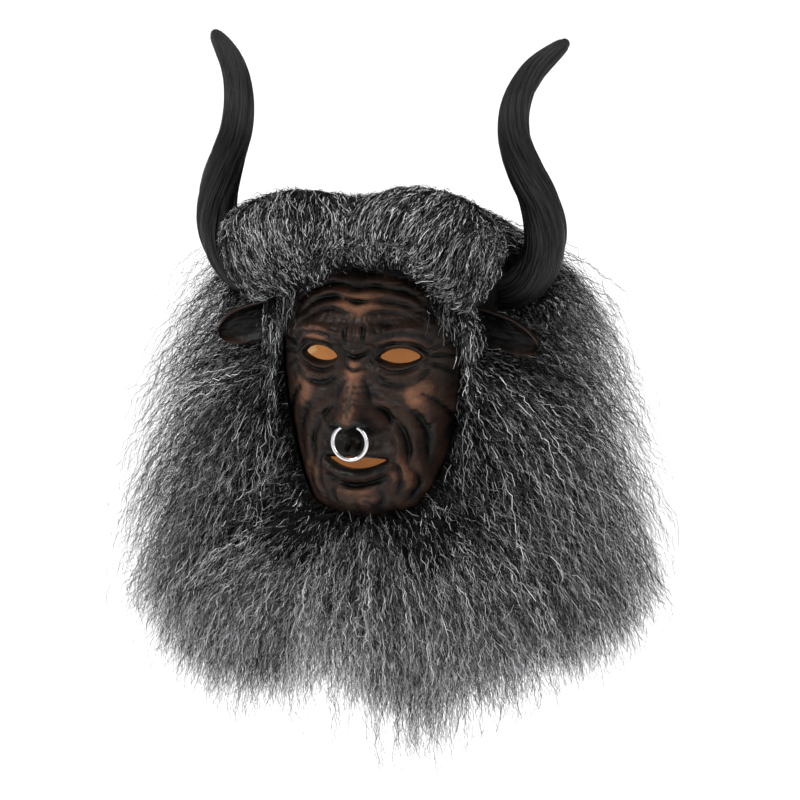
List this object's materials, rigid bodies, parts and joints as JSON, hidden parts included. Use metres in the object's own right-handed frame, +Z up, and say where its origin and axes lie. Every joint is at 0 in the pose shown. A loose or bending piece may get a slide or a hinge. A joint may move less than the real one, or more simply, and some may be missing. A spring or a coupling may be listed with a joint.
{
  "type": "bull man mask",
  "caption": "Full-head bull-man mask: wrinkled dark latex face with a septum ring, curved horns, cupped ears, forelock, mane and beard of crimped grey fur.",
  "frame": {"origin": "centre of the crown pad's flat underside, where the mask rests on the wearer's head", "axes": "+Z up through the crown, -Y out of the face, +X towards the wearer's left"},
  "size_m": [0.458, 0.3031, 0.5855],
  "materials": {
    "painted_latex": "dark brown paint with black wiped into the creases, satin",
    "raw_latex": "bare tan latex, matte",
    "horn_latex": "black-grey with fine lengthwise grooves, satin",
    "foam": "soft open-cell foam",
    "backing_knit": "black knitted fur backing",
    "fur": "crimped long synthetic fur, mixed black and grey fibres",
    "ring_metal": "polished silver-coloured metal"
  },
  "bodies": {
    "mask": {"face_shell": "painted_latex", "rear_shell": "raw_latex", "crown_pad": "foam", "forehead_pad": "foam", "nape_pad": "foam", "temple_pad_left": "foam", "temple_pad_right": "foam", "neck_binding": "backing_knit", "horn_shell_left": "horn_latex", "horn_shell_right": "horn_latex", "horn_core_left": "foam", "horn_core_right": "foam", "horn_flange_left": "horn_latex", "horn_flange_right": "horn_latex", "ear_left": "painted_latex", "ear_right": "painted_latex", "crown_backing": "backing_knit", "mane_backing_left": "backing_knit", "mane_backing_right": "backing_knit", "rear_backing_left": "backing_knit", "rear_backing_right": "backing_knit", "beard_backing_left": "backing_knit", "beard_backing_right": "backing_knit", "forelock_fur_left": "fur", "forelock_fur_right": "fur", "crown_fur": "fur", "mane_fur_side_left": "fur", "mane_fur_side_right": "fur", "mane_fur_behind_ear_left": "fur", "mane_fur_behind_ear_right": "fur", "mane_fur_rear_left": "fur", "mane_fur_rear_right": "fur", "beard_fur_left": "fur", "beard_fur_right": "fur"},
    "ring": {"nose_ring": "ring_metal"}
  },
  "joints": [
    {"name": "nose_ring_swing", "type": "hinge", "parent": "mask", "child": "ring", "pos_m": [0, -0.118, -0.1495], "axis": [1, 0, 0], "range_deg": [-40, 15]}
  ]
}
